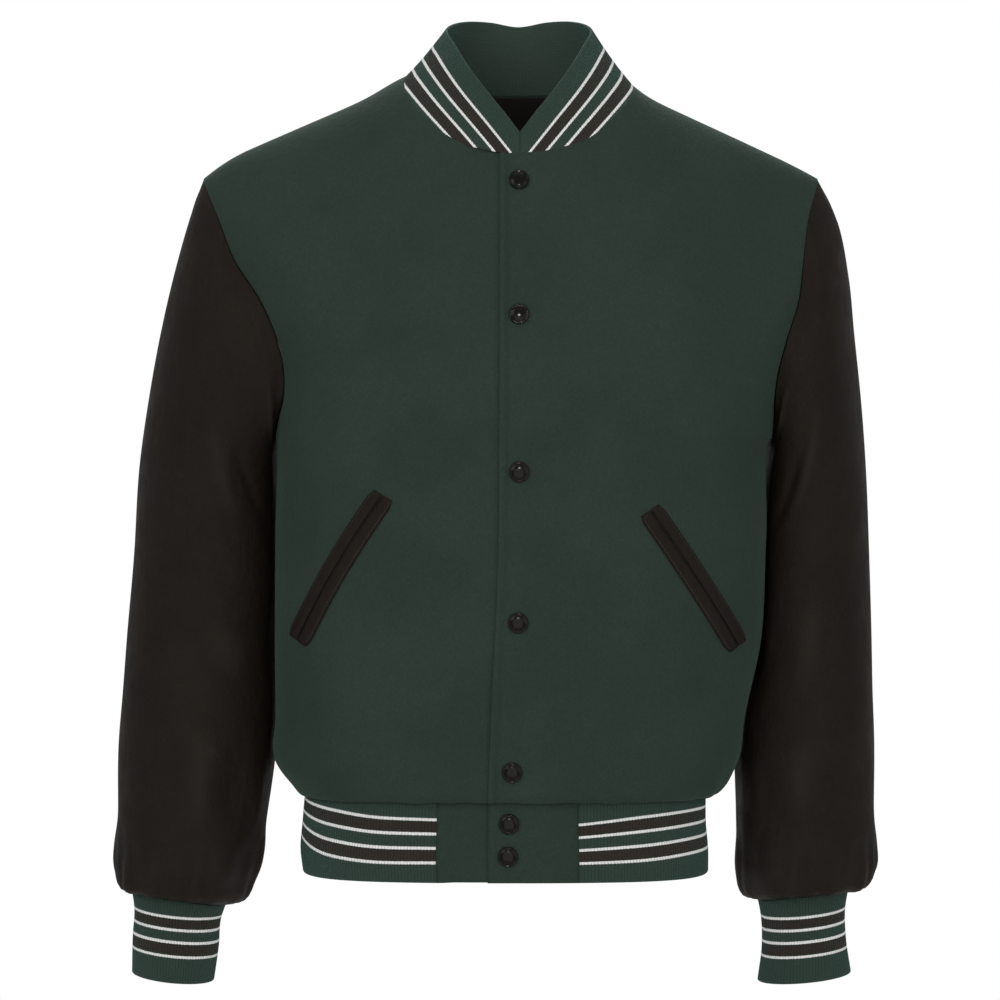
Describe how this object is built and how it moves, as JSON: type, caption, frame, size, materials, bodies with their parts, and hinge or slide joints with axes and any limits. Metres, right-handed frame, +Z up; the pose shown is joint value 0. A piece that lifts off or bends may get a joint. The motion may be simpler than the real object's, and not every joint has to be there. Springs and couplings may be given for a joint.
{
  "type": "varsity jacket",
  "caption": "Hollow varsity jacket in its worn shape, with wool body, leather sleeves, snap front, slanted pockets and striped rib collar, cuffs and waistband.",
  "frame": {"origin": "the nape, at the middle of the back neck seam", "axes": "+Z up as worn, the front faces -Y, the wearer's left is +X"},
  "size_m": [0.6583, 0.2786, 0.8364],
  "materials": {
    "wool": "felted melton wool",
    "leather": "soft satin grain",
    "rib": "fine rib knit with white and black stripes",
    "lining": "smooth lining",
    "snap": "lacquered, semi-gloss"
  },
  "bodies": {
    "root": {"front_left": "wool", "front_right": "wool", "back": "wool", "back_lining": "lining", "sleeve_left": "leather", "sleeve_right": "leather", "cuff_left": "rib", "cuff_right": "rib", "collar": "rib", "waistband": "rib", "hem_tab_left": "wool", "hem_tab_right": "wool", "welt_left_upper": "leather", "welt_left_lower": "leather", "welt_right_upper": "leather", "welt_right_lower": "leather", "snap_1": "snap", "snap_2": "snap", "snap_3": "snap", "snap_4": "snap", "snap_5": "snap", "snap_6": "snap", "snap_7": "snap"}
  },
  "joints": []
}
